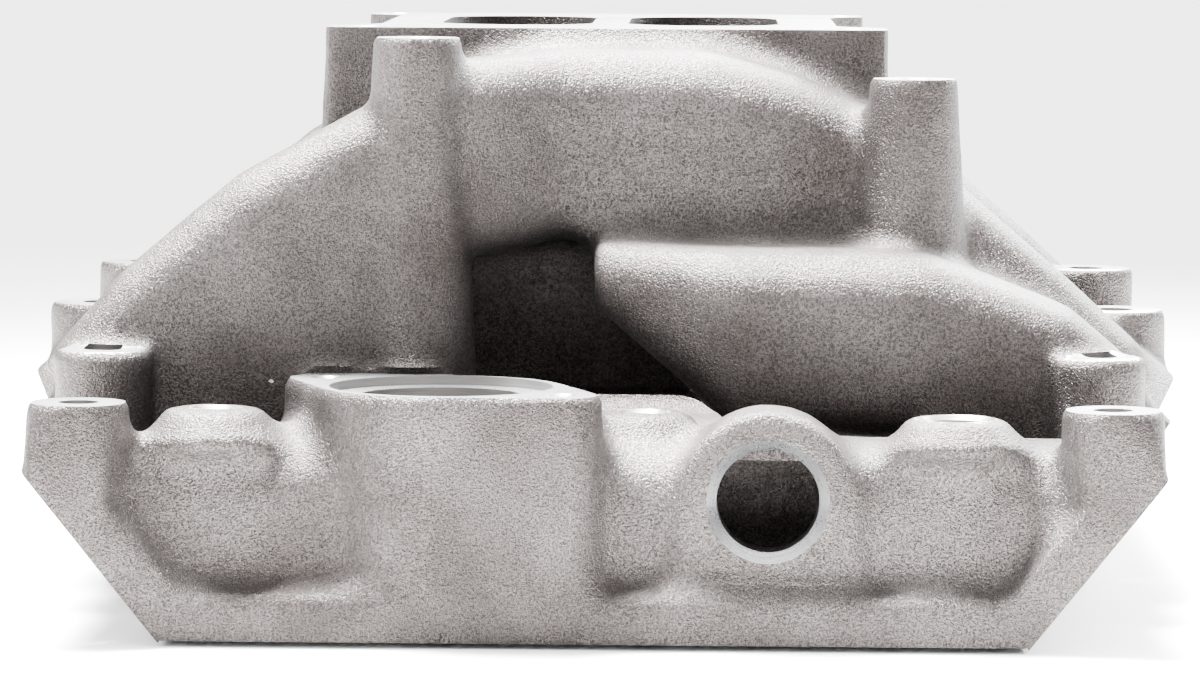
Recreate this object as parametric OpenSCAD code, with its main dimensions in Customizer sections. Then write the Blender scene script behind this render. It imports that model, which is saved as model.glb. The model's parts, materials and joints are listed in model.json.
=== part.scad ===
// Dual-plane air-gap intake manifold for a V8 engine, one aluminium casting
// drawn as its natural sections, which meet face to face.
// Millimetres. +X is the right-hand bank, the front looks along -Y, +Z is up.

/* [Overall] */

// Length of the two head flanges along the engine
length = 440; // [400:1:480]
// Thickness of the head flange plates
flange_t = 12.3; // [9:0.1:16]
// Slope of the machined head faces above the horizontal, degrees
flange_angle = 51.2; // [45:0.1:55]
// Half distance between the two flange bottom edges
flange_foot = 107.8; // [95:0.1:120]

/* [Carburettor pad] */

// Height of the machined pad face
pad_z = 151.4; // [140:0.1:165]
// Thickness of the pad plate
pad_t = 12; // [9:0.5:16]
// Bolt spacing across the pad
pad_bolt_x = 131; // [120:0.5:140]
// Bolt spacing along the pad
pad_bolt_y = 143; // [130:0.5:150]
// Centre of the pad measured from the middle of the flanges
pad_y = -10.5; // [-20:0.5:20]
// Radius of the tapped pad holes
pad_hole_r = 3.6; // [3:0.1:4.5]
// Half width of the plate over the front ears
ear_front = 76.2; // [70:0.1:80]
// Half width of the plate over the rear ears
ear_rear = 73; // [68:0.1:80]
// Half width of the plate between the ears
pad_waist = 63; // [58:0.5:70]
// Width of each throttle slot
slot_w = 42; // [36:0.5:46]
// Length of each throttle slot
slot_l = 96; // [80:1:120]
// Distance of each slot centre from the middle
slot_x = 26; // [24:0.5:28]

/* [Ports] */

// Distance from the middle to the inner ports
port_in_y = 91; // [85:0.5:95]
// Distance from the middle to the outer ports
port_out_y = 135; // [130:0.5:140]
// Width of a port along the engine
port_w = 26; // [22:0.5:32]
// Height of a port up the flange face
port_h = 48; // [40:0.5:54]
// Distance of the port centre up the flange face
port_s = 41; // [38:0.5:44]

/* [Head bolt towers] */

// Radius of the head bolt clearance holes
bolt_hole_r = 5.1; // [4.5:0.1:6]
// Distance from the middle to the end towers
tower_end_y = 207; // [200:0.5:210]
// Distance from the middle to the second towers
tower_mid_y = 157; // [150:0.5:165]
// Distance from the middle to the inner towers
tower_in_y = 60; // [50:0.5:70]

/* [Thermostat neck] */

// Centre of the neck across the engine
neck_x = -39.5; // [-60:0.5:60]
// Centre of the neck along the engine
neck_y = -187.5; // [-190:0.5:-180]
// Height of the machined neck face
neck_z = 63; // [58:0.5:70]
// Radius of the round part of the neck
neck_r = 32.5; // [30:0.5:36]
// Radius of the bolt lobes
neck_lobe_r = 11; // [9:0.5:13]
// Radius of the thermostat recess
neck_recess_r = 28.5; // [25:0.5:30]
// Radius of the water outlet bore
neck_bore_r = 20.75; // [18:0.25:24]
// Distance between the two housing bolts
neck_pcd = 76; // [70:0.5:84]

/* [Front fittings] */

// Centre of the bypass port across the engine
bypass_x = 43.5; // [30:0.5:60]
// Height of the bypass port centre
bypass_z = 37; // [32:0.5:42]
// Radius of the bypass port bore
bypass_r = 12.9; // [11:0.1:15]
// Outer radius of the bypass eye
bypass_eye_r = 22.7; // [20:0.1:25]
// Radius of the sensor port
sensor_r = 8.55; // [7:0.05:10]
// Radius of the small port near the left end
vent_r = 4.6; // [3.5:0.1:6]
// Radius of the small port near the middle
centre_r = 5; // [3.5:0.1:6]
// Height of the tall bracket tower
tall_z = 150; // [140:0.5:155]
// Height of the short bracket tower
short_z = 139.4; // [130:0.1:145]

/* [Hidden] */

fn_round = 96;
end_y = -length / 2;
pad_low = pad_z - pad_t;
pad_front = pad_y - 83.5;
pad_back = pad_y + 83.5;
neck_bolt_a = -35.8;
wall = 6;
water_y = -183.5;
water_z = 30;
water_r = 10;
rail_top = 13.5;
rail_low = 1.5;
cross_front = -210;
cross_back = -166;
cross_top = 50;
cross_half = 124;
bypass_deep = 24;
// each head bolt tower: distance across, distance along, top height, radius
towers = [
  [129.6, -tower_end_y, 60, 12.8],
  [129, -tower_mid_y, 69, 12.5],
  [140.2, -tower_in_y, 74, 14],
  [140.2, tower_in_y, 77, 14],
  [129, tower_mid_y, 69, 12.5],
  [129.6, tower_end_y, 60, 12.8]
];
tower_low = 25;
boss_low = 42;
sensor_at = [91, -198];
vent_at = [-96.5, -196];
centre_at = [11.7, -182];
tall_at = [-48.5, -138.8];
short_at = [82, -120];
grey = [0.62, 0.61, 0.6];
pale = [0.72, 0.71, 0.7];
dark = [0.52, 0.51, 0.5];

// ---- helpers -------------------------------------------------------------

// outline of a rectangle with rounded corners
function rounded(w, h, r, n = 5) = [
  for (q = [0:3], i = [0:n])
    let (a = q * 90 + i * 90 / n,
         sx = (q == 0 || q == 3) ? 1 : -1,
         sy = (q < 2) ? 1 : -1)
      [sx * (w / 2 - r) + r * cos(a), sy * (h / 2 - r) + r * sin(a)]
];

// the frame of the right-hand head face: up the face, along, into the casting
module on_face() {
  translate([flange_foot, 0, 0])
    rotate([0, -flange_angle, 0])
      children();
}

// both banks
module both_banks() {
  children();
  mirror([1, 0, 0])
    children();
}

// a point a distance n into the casting from a face point s up the face
function face_x(s, n) = flange_foot + s * cos(flange_angle) - n * sin(flange_angle);
function face_z(s, n) = s * sin(flange_angle) + n * cos(flange_angle);

// everything outboard of the inner side of a flange plate
module outboard(depth = flange_t) {
  both_banks()
    on_face()
      translate([-150, -300, -200])
        cube([400, 600, 200 + depth]);
}

// one thin station of a runner: [x, y, z, turn, climb, width, height, corner]
module station(s, inset = 0) {
  translate([s[0], s[1], s[2]])
    rotate([0, -s[4], s[3]])
      rotate([90, 0, 90])
        linear_extrude(0.6)
          polygon(rounded(s[5] - 2 * inset, s[6] - 2 * inset, s[7] - inset * 0.6));
}

// a chain of stations joined one to the next
module chain(list, inset = 0) {
  for (i = [0:len(list) - 2])
    hull() {
      station(list[i], inset);
      station(list[i + 1], inset);
    }
}

// a station at the inner side of a flange plate
function at_face(side, y, n, w, h, lift = 0) = [
  side * face_x(port_s + lift, n), y, face_z(port_s + lift, n),
  side < 0 ? 0 : 180, 90 - flange_angle, w, h, 11
];

// an upright station square to the engine's length
function upright(x, y0, y1, z0, z1, r = 12) = [
  x, (y0 + y1) / 2, (z0 + z1) / 2, 0, 0, y1 - y0, z1 - z0, r
];

left_up = [
  at_face(-1, -port_out_y, flange_t - 0.1, 38, 62, 3),
  at_face(-1, -port_out_y + 1, 42, 39, 68, 5),
  at_face(-1, -port_out_y + 3, 80, 40, 66, 7),
  upright(-41, -147, -100, 90, 143.5, 13)
];
across = [
  upright(-41, -147, -100, 90, 143.5, 13),
  upright(-12, -130, -92, 96, 146.5, 14),
  upright(26, -126, -88, 94, 146, 14),
  upright(50, -124, -84, 93, 140, 14),
  upright(72, -120, -80, 88, 130, 14)
];
right_up = [
  upright(72, -120, -80, 88, 130, 14),
  at_face(1, -port_in_y - 2, 42, 40, 68, 2),
  at_face(1, -port_in_y, flange_t - 0.1, 38, 62, 3)
];
right_low = [
  at_face(1, -port_out_y, flange_t - 0.1, 42, 60, 0),
  at_face(1, -port_out_y - 3, 38, 44, 62, 0),
  upright(84, -161, -114, 46, 95, 13),
  upright(36, -161, -112, 48, 95.5, 13),
  upright(-2, -146, -108, 80, 97, 8)
];
right_low_in = [
  upright(36, -150, -100, 48, 95.5, 13),
  upright(26, -112, -80, 50, 96, 13)
];
left_low = [
  at_face(-1, -port_in_y, flange_t - 0.1, 38, 58, 0),
  at_face(-1, -port_in_y + 4, 38, 40, 56, 0),
  upright(-56, -100, -62, 44, 92, 12)
];

// solid outer shapes of the front half; the rear half is their mirror image
module left_up_body() chain(left_up);
module across_body() chain(across);
module right_up_body() chain(right_up);
module right_low_body() {
  chain(right_low);
  chain(right_low_in);
}
module left_low_body() chain(left_low);

module front_and_rear() {
  children();
  mirror([0, 1, 0])
    children();
}

// air passages of the upper plane
module upper_air() {
  front_and_rear() {
    chain(left_up, wall);
    chain(across, wall);
    chain(right_up, wall);
    face_port(-1, port_out_y);
    face_port(1, port_in_y);
  }
  translate([5, -92, 104])
    cube([50, 184, pad_low - 104 - 6]);
}

// air passages of the lower plane
module lower_air() {
  front_and_rear() {
    chain(right_low, wall);
    chain(right_low_in, wall);
    chain(left_low, wall);
    face_port(1, port_out_y);
    face_port(-1, port_in_y);
  }
  translate([-49, -78, 58])
    cube([98, 156, 32]);
  translate([-slot_x - slot_w / 2, pad_y - slot_l / 2, 58])
    cube([slot_w, slot_l, 90]);
}

// a port through one flange plate, in the front or rear half
module face_port(side, y) {
  mirror([side < 0 ? 1 : 0, 0, 0])
    on_face()
      translate([port_s, -y, -1])
        linear_extrude(flange_t + 2)
          polygon(rounded(port_h, port_w, 7, 6));
}

// throttle slots, two side by side
module throttle_slots(z0, z1) {
  for (side = [-1, 1])
    translate([side * slot_x, pad_y, z0])
      linear_extrude(z1 - z0) {
        square([slot_w, slot_l - slot_w], center = true);
        for (e = [-1, 1])
          translate([0, e * (slot_l - slot_w) / 2])
            circle(r = slot_w / 2, $fn = fn_round);
      }
}

// the water passage across the front, with its two outlets to the heads
module water() {
  translate([-150, water_y, water_z])
    rotate([0, 90, 0])
      cylinder(r = water_r, h = 300, $fn = fn_round);
}

// points along an arc
function arc(at, r, a0, a1, n) = [
  for (i = [0:n])
    let (a = a0 + (a1 - a0) * i / n)
      [at[0] + r * cos(a), at[1] + r * sin(a)]
];

// outline of the thermostat neck: a round body with two bolt lobes, joined by tangents
module neck_outline() {
  d = neck_pcd / 2;
  b = acos((neck_r - neck_lobe_r) / d);
  a = neck_bolt_a;
  lobe = [d * cos(a), d * sin(a)];
  polygon(concat(
    arc(lobe, neck_lobe_r, a - b, a + b, 14),
    arc([0, 0], neck_r, a + b, a + 180 - b, 16),
    arc(-lobe, neck_lobe_r, a + 180 - b, a + 180 + b, 14),
    arc([0, 0], neck_r, a + 180 + b, a + 360 - b, 16)
  ));
}

module neck_solid() {
  translate([neck_x, neck_y, rail_top])
    linear_extrude(neck_z - rail_top)
      neck_outline();
}

module bypass_solid() {
  translate([bypass_x, cross_front - 4, bypass_z])
    rotate([-90, 0, 0])
      cylinder(r = bypass_eye_r, h = bypass_deep, $fn = fn_round);
  translate([bypass_x - bypass_eye_r, cross_front - 4, rail_top])
    cube([2 * bypass_eye_r, bypass_deep, bypass_z - rail_top]);
}

// a round boss standing in the top of the crossover
module boss(at, top, r) {
  translate([at[0], at[1], boss_low])
    cylinder(r = r, h = top - boss_low, $fn = fn_round);
}

// a hole drilled down from a boss into the water passage
module boss_hole(at, r, low = water_z) {
  translate([at[0], at[1], low])
    cylinder(r = r, h = 40, $fn = fn_round);
}

module sensor_solid() boss(sensor_at, 57, 13.4);
module vent_solid() boss(vent_at, 58, 13.4);
module centre_solid() boss(centre_at, 56.5, 13);

module tall_solid() {
  translate([tall_at[0], tall_at[1], 20])
    cylinder(r1 = 17.8, r2 = 11.45, h = tall_z - 20, $fn = fn_round);
}

module short_solid() {
  translate([short_at[0], short_at[1], 88])
    cylinder(r1 = 14.8, r2 = 11.75, h = short_z - 88, $fn = fn_round);
}

// the twelve head bolt towers as plain cylinders, one bank
module towers_solid() {
  for (t = towers)
    translate([t[0], t[1], tower_low])
      cylinder(r = t[3], h = t[2] - tower_low, $fn = fn_round);
}

module tower_holes() {
  for (t = towers)
    translate([t[0], t[1], -1])
      cylinder(r = bolt_hole_r, h = t[2] + 2, $fn = fn_round);
}

module flange_plate() {
  on_face()
    linear_extrude(flange_t)
      polygon([
        [0, -length / 2], [55.5, -length / 2], [55.5, -130], [65, -112],
        [74.5, -92], [74.5, 92], [65, 112], [55.5, 130],
        [55.5, length / 2], [0, length / 2]
      ]);
}

module pad_outline() {
  f = pad_front;
  b = pad_back;
  w = pad_waist;
  polygon([
    [-ear_front, f], [ear_front, f], [ear_front, f + 24], [w, f + 36],
    [w, b - 34], [ear_rear, b - 23], [ear_rear, b], [-ear_rear, b],
    [-ear_rear, b - 23], [-w, b - 34], [-w, f + 36], [-ear_front, f + 24]
  ]);
}

module pad_solid() {
  translate([0, 0, pad_low])
    linear_extrude(pad_t)
      pad_outline();
}

module pad_holes() {
  for (sx = [-1, 1], sy = [-1, 1])
    translate([sx * pad_bolt_x / 2, pad_y + sy * pad_bolt_y / 2, pad_z - 20])
      cylinder(r = pad_hole_r, h = 21, $fn = fn_round);
}

// drafted pillars that carry the pad ears, as seen square to the front
module pillars(y0, y1, out, low) {
  both_banks()
    translate([0, y1, 0])
      rotate([90, 0, 0])
        linear_extrude(y1 - y0)
          polygon([[58, low], [out + 3, low], [out, pad_low], [58, pad_low]]);
}

module pillars_front_solid() pillars(pad_front, pad_front + 24, ear_front, 92);
module pillars_rear_solid() pillars(pad_back - 23, pad_back, ear_rear, 92);

// every solid the cast runners and plenums give way to
module given_way() {
  outboard();
  both_banks()
    towers_solid();
  pad_solid();
  pillars_front_solid();
  pillars_rear_solid();
  tall_solid();
  short_solid();
  floor_solid();
}

module floor_solid() {
  translate([-112, cross_back, rail_top + 0.5])
    cube([224, 196 - cross_back, 6]);
}

module upper_bodies() {
  front_and_rear() {
    left_up_body();
    across_body();
    right_up_body();
  }
}

// one runner or hood kept to a range across the engine, front or rear half
module cast_section(x0, x1, rear) {
  difference() {
    intersection() {
      mirror([0, rear ? 1 : 0, 0])
        children();
      translate([x0, -300, 0])
        cube([x1 - x0, 600, 200]);
    }
    given_way();
    upper_air();
  }
}

module low_section(rear) {
  difference() {
    mirror([0, rear ? 1 : 0, 0])
      children();
    given_way();
    upper_bodies();
    lower_air();
    core();
  }
}

// the middle block that belongs to the two plenums
module core() {
  translate([-62, -95, 52])
    cube([124, 190, pad_low - 52]);
}

// ---- sections of the casting ------------------------------------------------

module carb_flange() {
  color(pale)
    difference() {
      pad_solid();
      throttle_slots(pad_low - 1, pad_z + 1);
      pad_holes();
    }
}

module ear_pillars_front() {
  color(grey)
    difference() {
      pillars_front_solid();
      pad_holes();
      core();
      short_solid();
    }
}

module ear_pillars_rear() {
  color(grey)
    difference() {
      pillars_rear_solid();
      pad_holes();
      core();
    }
}

module plenum_divider() {
  color(dark)
    translate([-5, pad_y - slot_l / 2, 96])
      cube([10, slot_l, pad_low - 96]);
}

module plenum_upper() {
  color(grey)
    difference() {
      translate([-62, -95, 96])
        cube([124, 190, pad_low - 96]);
      upper_bodies();
      upper_air();
      throttle_slots(120, pad_z);
      translate([-slot_x - slot_w / 2, pad_y - slot_l / 2, 90])
        cube([slot_w, slot_l, 60]);
      translate([-5, pad_y - slot_l / 2, 95])
        cube([10, slot_l, 60]);
      pad_holes();
    }
}

module plenum_lower() {
  color(dark)
    difference() {
      translate([-62, -95, 52])
        cube([124, 190, 44]);
      upper_bodies();
      lower_air();
    }
}

module hood_front() {
  color(grey)
    cast_section(-41, 72, false)
      across_body();
}

module hood_rear() {
  color(grey)
    cast_section(-41, 72, true)
      across_body();
}

module runner_2() {
  color(grey)
    cast_section(-200, -41, false)
      left_up_body();
}

module runner_8() {
  color(grey)
    cast_section(-200, -41, true)
      left_up_body();
}

module runner_3() {
  color(grey)
    cast_section(72, 200, false)
      right_up_body();
}

module runner_5() {
  color(grey)
    cast_section(72, 200, true)
      right_up_body();
}

module runner_1() {
  color(dark)
    low_section(false)
      right_low_body();
}

module runner_7() {
  color(dark)
    low_section(true)
      right_low_body();
}

module runner_4() {
  color(dark)
    low_section(false)
      left_low_body();
}

module runner_6() {
  color(dark)
    low_section(true)
      left_low_body();
}

module head_flange(side) {
  mirror([side < 0 ? 1 : 0, 0, 0])
    difference() {
      flange_plate();
      tower_holes();
      for (y = [-port_out_y, -port_in_y, port_in_y, port_out_y])
        face_port(1, y);
      water();
    }
}

module head_flange_left() {
  color(pale)
    head_flange(-1);
}

module head_flange_right() {
  color(pale)
    head_flange(1);
}

module head_bolt_towers(side) {
  mirror([side < 0 ? 1 : 0, 0, 0])
    difference() {
      towers_solid();
      flange_plate();
      outboard(0.5);
      tower_holes();
    }
}

module head_bolt_towers_left() {
  color(pale)
    head_bolt_towers(-1);
}

module head_bolt_towers_right() {
  color(pale)
    head_bolt_towers(1);
}

module end_rail_front() {
  color(grey)
    difference() {
      translate([-108, end_y, rail_low])
        cube([216, cross_back - end_y, rail_top - rail_low]);
      outboard();
    }
}

module end_rail_rear() {
  color(grey)
    difference() {
      translate([108, 196, 0])
        rotate([90, 0, -90])
          linear_extrude(216)
            polygon([
              [-24, rail_low], [0, rail_low], [0, 38], [-3, 43],
              [-8, 45.5], [-14, 43], [-17, 37], [-18, 20], [-24, rail_top]
            ]);
      outboard();
      both_banks()
        towers_solid();
    }
}

module valley_floor() {
  color(dark)
    difference() {
      floor_solid();
      outboard();
      both_banks()
        towers_solid();
      tall_solid();
    }
}

// the body of the water crossover between two places across the engine
module cross_solid(x0, x1) {
  translate([x0, 0, 0])
    rotate([90, 0, 90])
      linear_extrude(x1 - x0)
        polygon([
          [cross_front, rail_top], [cross_back, rail_top], [cross_back, 40],
          [cross_back - 3, 46.5], [cross_back - 10, cross_top],
          [cross_front + 15, cross_top], [cross_front + 7, 48],
          [cross_front + 2, 43], [cross_front, 36]
        ]);
}

module water_crossover_left() {
  color(grey)
    difference() {
      cross_solid(-cross_half, neck_x - 20);
      outboard();
      both_banks()
        towers_solid();
      neck_solid();
      vent_solid();
      water();
    }
}

module water_crossover_right() {
  color(grey)
    difference() {
      cross_solid(neck_x + 20, cross_half);
      outboard();
      both_banks()
        towers_solid();
      neck_solid();
      bypass_solid();
      sensor_solid();
      centre_solid();
      water();
      boss_hole(sensor_at, sensor_r);
      boss_hole(centre_at, centre_r);
    }
}

module thermostat_neck() {
  color(pale)
    difference() {
      neck_solid();
      translate([neck_x, neck_y, neck_z - 2.3])
        cylinder(r = neck_recess_r, h = 3, $fn = fn_round);
      translate([neck_x, neck_y, water_z])
        cylinder(r = neck_bore_r, h = 40, $fn = fn_round);
      for (a = [neck_bolt_a, neck_bolt_a + 180])
        translate([neck_x + neck_pcd / 2 * cos(a), neck_y + neck_pcd / 2 * sin(a), neck_z - 18])
          cylinder(r = 3.4, h = 19, $fn = fn_round);
      water();
    }
}

module bypass_eye() {
  color(pale)
    difference() {
      union() {
        bypass_solid();
        translate([bypass_x, cross_front - 5, bypass_z])
          rotate([-90, 0, 0])
            cylinder(r1 = 14.6, r2 = 15.6, h = 1.5, $fn = fn_round);
      }
      translate([bypass_x, cross_front - 8, bypass_z])
        rotate([-90, 0, 0])
          cylinder(r = bypass_r, h = water_y - cross_front + 8, $fn = fn_round);
      water();
    }
}

module sensor_boss() {
  color(pale)
    difference() {
      sensor_solid();
      boss_hole(sensor_at, sensor_r);
    }
}

module vent_boss() {
  color(pale)
    difference() {
      vent_solid();
      boss_hole(vent_at, vent_r, boss_low + 1);
    }
}

module centre_boss() {
  color(pale)
    difference() {
      centre_solid();
      boss_hole(centre_at, centre_r);
      neck_solid();
    }
}

module bracket_tower_tall() {
  color(pale)
    difference() {
      tall_solid();
      neck_solid();
      cross_solid(-cross_half, cross_half);
      translate([tall_at[0], tall_at[1], tall_z - 25])
        cylinder(r = 4.2, h = 26, $fn = fn_round);
    }
}

module bracket_tower_short() {
  color(pale)
    difference() {
      short_solid();
      translate([short_at[0], short_at[1], short_z - 25])
        cylinder(r = 4.2, h = 26, $fn = fn_round);
    }
}

carb_flange();
ear_pillars_front();
ear_pillars_rear();
plenum_upper();
plenum_lower();
plenum_divider();
hood_front();
hood_rear();
runner_1();
runner_2();
runner_3();
runner_4();
runner_5();
runner_6();
runner_7();
runner_8();
head_flange_left();
head_flange_right();
head_bolt_towers_left();
head_bolt_towers_right();
end_rail_front();
end_rail_rear();
valley_floor();
water_crossover_left();
water_crossover_right();
thermostat_neck();
bypass_eye();
sensor_boss();
vent_boss();
centre_boss();
bracket_tower_tall();
bracket_tower_short();
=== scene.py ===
import json
import math

import bmesh
import bpy
import numpy as np
from mathutils import Matrix, Vector


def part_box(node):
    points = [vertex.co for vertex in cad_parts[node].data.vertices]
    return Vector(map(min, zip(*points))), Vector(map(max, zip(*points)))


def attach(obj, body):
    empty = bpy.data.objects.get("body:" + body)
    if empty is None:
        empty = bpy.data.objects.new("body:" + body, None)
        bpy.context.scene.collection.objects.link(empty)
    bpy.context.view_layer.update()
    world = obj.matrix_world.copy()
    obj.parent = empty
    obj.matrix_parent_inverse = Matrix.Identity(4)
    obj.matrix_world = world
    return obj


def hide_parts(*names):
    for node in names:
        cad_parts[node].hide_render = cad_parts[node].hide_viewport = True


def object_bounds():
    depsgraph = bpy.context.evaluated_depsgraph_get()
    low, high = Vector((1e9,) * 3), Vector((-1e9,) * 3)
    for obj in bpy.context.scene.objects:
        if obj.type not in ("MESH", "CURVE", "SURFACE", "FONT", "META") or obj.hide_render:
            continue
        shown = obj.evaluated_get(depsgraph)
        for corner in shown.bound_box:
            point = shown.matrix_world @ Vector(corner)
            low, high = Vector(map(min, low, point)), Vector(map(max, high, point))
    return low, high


bl_info = {
    "name": "Intake manifold casting",
    "version": (1, 0, 0),
    "blender": (4, 5, 0),
    "location": "View3D > Sidebar > Manifold",
    "description": "Pours, machines and finishes a dual-plane intake manifold round its CAD frame",
    "category": "Object",
}

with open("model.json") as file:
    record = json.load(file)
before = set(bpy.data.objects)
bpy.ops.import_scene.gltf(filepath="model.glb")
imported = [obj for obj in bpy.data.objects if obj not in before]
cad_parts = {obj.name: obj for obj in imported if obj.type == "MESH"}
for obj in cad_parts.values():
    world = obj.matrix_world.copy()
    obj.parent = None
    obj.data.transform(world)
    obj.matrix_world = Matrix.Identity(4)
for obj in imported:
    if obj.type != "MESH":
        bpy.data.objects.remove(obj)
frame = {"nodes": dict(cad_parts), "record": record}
cad_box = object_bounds()
MM = 0.001
UP = Vector((0.0, 0.0, 1.0))
MOUNTS = {m["name"]: m for m in frame["record"]["mounts"]}


# ---- places worked out from the frame ------------------------------------------


def low(node):
    """Lowest corner of a CAD node."""
    return Vector(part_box(node)[0])


def high(node):
    """Highest corner of a CAD node."""
    return Vector(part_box(node)[1])


def mount(name):
    """Position, axis and sizes of a mount, in metres."""
    m = MOUNTS[name]
    return Vector(m["pos_m"]), Vector(m["axis"]), m["dims"]


PAD_TOP = high("carb_flange").z
PAD_LOW = low("carb_flange").z
NECK_TOP = high("thermostat_neck").z
RAIL_LOW = low("end_rail_front").z
RAIL_TOP = high("end_rail_front").z
FLOOR_TOP = high("valley_floor").z
FRONT = low("head_flange_right").y
FACE_POINT, FACE_NORMAL, _ = mount("head_face_right")
FACE_UP = Vector((-FACE_NORMAL.z, 0.0, FACE_NORMAL.x))
FLANGE_T = 12.3 * MM
SPARE = 0.9 * MM
NECK_R = 32.5 * MM
LOBE_R = 11 * MM
NECK_TURN = -35.8  # degrees
HEAD_BOLT_R = MOUNTS["head_bolts_end"]["dims"]["hole_r_mm"] * MM
PAD_BOLT_R = MOUNTS["carb_bolts"]["dims"]["hole_r_mm"] * MM
NECK_BOLT_R = MOUNTS["thermostat_bolts"]["dims"]["hole_r_mm"] * MM
PAD_HOLE_DEEP = 20 * MM
NECK_HOLE_DEEP = 18 * MM
BRACKET_TOP_R = 11.6 * MM
BRACKET_SEAT_R = 13.5 * MM
CLOSE = 0.02 * MM  # vertices nearer than this count as lying on a face
WATER_FILLET = 0.85  # fillets of the water passages, against those of the runners


def face_frame(side):
    """Matrix of a head face: X up the face, Y along the engine, Z into the casting."""
    foot = FACE_POINT - FACE_UP * (FACE_POINT.z / FACE_UP.z)
    turn = Matrix((FACE_UP, Vector((0, 1, 0)), -FACE_NORMAL)).transposed().to_4x4()
    place = Matrix.Translation(foot) @ turn
    return Matrix.Diagonal((side, 1, 1, 1)) @ place


class CastingSizes(bpy.types.PropertyGroup):
    voxel: bpy.props.FloatProperty(
        name="Skin grid", description="Spacing of the cast skin's mesh",
        default=1.5 * MM, min=0.8 * MM, unit="LENGTH")
    fillet: bpy.props.FloatProperty(
        name="Fillet", description="Radius that fills the inside corners of the casting",
        default=4.5 * MM, unit="LENGTH")
    tight: bpy.props.FloatProperty(
        name="Tight fillet", description="Fillet where the towers meet the casting",
        default=1.8 * MM, unit="LENGTH")
    soften: bpy.props.IntProperty(
        name="Soften", description="Smoothing passes that round the outside edges", default=4)
    stock: bpy.props.FloatProperty(
        name="Machining stock", description="Metal left on a face before it is milled",
        default=4.0 * MM, unit="LENGTH")
    ripple: bpy.props.FloatProperty(
        name="Ripple", description="Height of the slow unevenness of the cast walls",
        default=0.12 * MM, unit="LENGTH")


class StageSizes(bpy.types.PropertyGroup):
    distance: bpy.props.FloatProperty(
        name="Camera distance", description="From the lens to the front rail",
        default=1.358, unit="LENGTH")
    height: bpy.props.FloatProperty(
        name="Camera height", description="Above the floor", default=0.1914, unit="LENGTH")
    aside: bpy.props.FloatProperty(
        name="Camera offset", description="Towards the right-hand bank", default=0.0299,
        unit="LENGTH")
    yaw: bpy.props.FloatProperty(
        name="Yaw", description="Turn of the view to the left", default=math.radians(1.2),
        subtype="ANGLE")
    dip: bpy.props.FloatProperty(
        name="Dip", description="How far the view looks down", default=math.radians(4.81),
        subtype="ANGLE")
    roll: bpy.props.FloatProperty(
        name="Roll", description="Tilt of the view about its own axis",
        default=math.radians(0.35), subtype="ANGLE")
    lens: bpy.props.FloatProperty(
        name="Lens", description="Focal length in millimetres", default=165.0)


class FinishColours(bpy.types.PropertyGroup):
    cast: bpy.props.FloatVectorProperty(
        name="Cast", description="Bare sand-cast aluminium", subtype="COLOR", size=4,
        default=(0.046, 0.0405, 0.0385, 1.0))
    cast_dark: bpy.props.FloatVectorProperty(
        name="Cast shade", description="Duller patches of the casting", subtype="COLOR", size=4,
        default=(0.024, 0.02, 0.0185, 1.0))
    milled: bpy.props.FloatVectorProperty(
        name="Milled", description="Freshly milled faces", subtype="COLOR", size=4,
        default=(0.36, 0.36, 0.37, 1.0))


# ---- mesh helpers ----------------------------------------------------------------


def new_piece(name, mesh):
    """An object for a mesh, linked to the scene at the origin."""
    piece = bpy.data.objects.new(name, mesh)
    bpy.context.scene.collection.objects.link(piece)
    return piece


def mesh_of(bm, name):
    """A mesh from a bmesh, with its normals turned outwards."""
    bmesh.ops.recalc_face_normals(bm, faces=bm.faces)
    mesh = bpy.data.meshes.new(name)
    bm.to_mesh(mesh)
    bm.free()
    return mesh


def add_box(bm, lo, hi, matrix=Matrix.Identity(4)):
    """A block between two corners."""
    lo, hi = Vector(lo), Vector(hi)
    size = hi - lo
    place = matrix @ Matrix.Translation((lo + hi) / 2) @ Matrix.Diagonal((*size, 1))
    return bmesh.ops.create_cube(bm, size=1.0, matrix=place)["verts"]


def add_rod(bm, start, end, r0, r1=None, sides=64):
    """A rod or cone from one point to another."""
    start, end = Vector(start), Vector(end)
    axis = end - start
    turn = UP.rotation_difference(axis).to_matrix().to_4x4()
    place = Matrix.Translation((start + end) / 2) @ turn
    return bmesh.ops.create_cone(
        bm, cap_ends=True, segments=sides, radius1=r0,
        radius2=r0 if r1 is None else r1, depth=axis.length, matrix=place)["verts"]


def evaluated(piece):
    """The mesh of a piece with its modifiers applied."""
    graph = bpy.context.evaluated_depsgraph_get()
    return bpy.data.meshes.new_from_object(piece.evaluated_get(graph))


def apply_modifiers(piece):
    """Bakes the modifiers of a piece into its mesh."""
    mesh = evaluated(piece)
    old = piece.data
    piece.modifiers.clear()
    piece.data = mesh
    bpy.data.meshes.remove(old)


def remesh(piece, voxel):
    """Covers a piece with an even skin."""
    mod = piece.modifiers.new("skin", "REMESH")
    mod.mode = "VOXEL"
    mod.voxel_size = voxel
    mod.use_smooth_shade = True
    apply_modifiers(piece)


def points(mesh):
    """Corner positions of a mesh."""
    out = np.empty(len(mesh.vertices) * 3, dtype=np.float32)
    mesh.vertices.foreach_get("co", out)
    return out.reshape(-1, 3)


def set_points(mesh, xyz):
    """Moves the corners of a mesh."""
    mesh.vertices.foreach_set("co", xyz.astype(np.float32).ravel())
    mesh.update()


def swell(piece, by):
    """Moves every corner along its normal."""
    mesh = piece.data
    normal = np.empty(len(mesh.vertices) * 3, dtype=np.float32)
    mesh.vertex_normals.foreach_get("vector", normal)
    set_points(mesh, points(mesh) + normal.reshape(-1, 3) * by)


def smooth(piece, passes, factor=0.5):
    """Evens out a skin."""
    mod = piece.modifiers.new("even", "SMOOTH")
    mod.factor = factor
    mod.iterations = passes
    apply_modifiers(piece)


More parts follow.
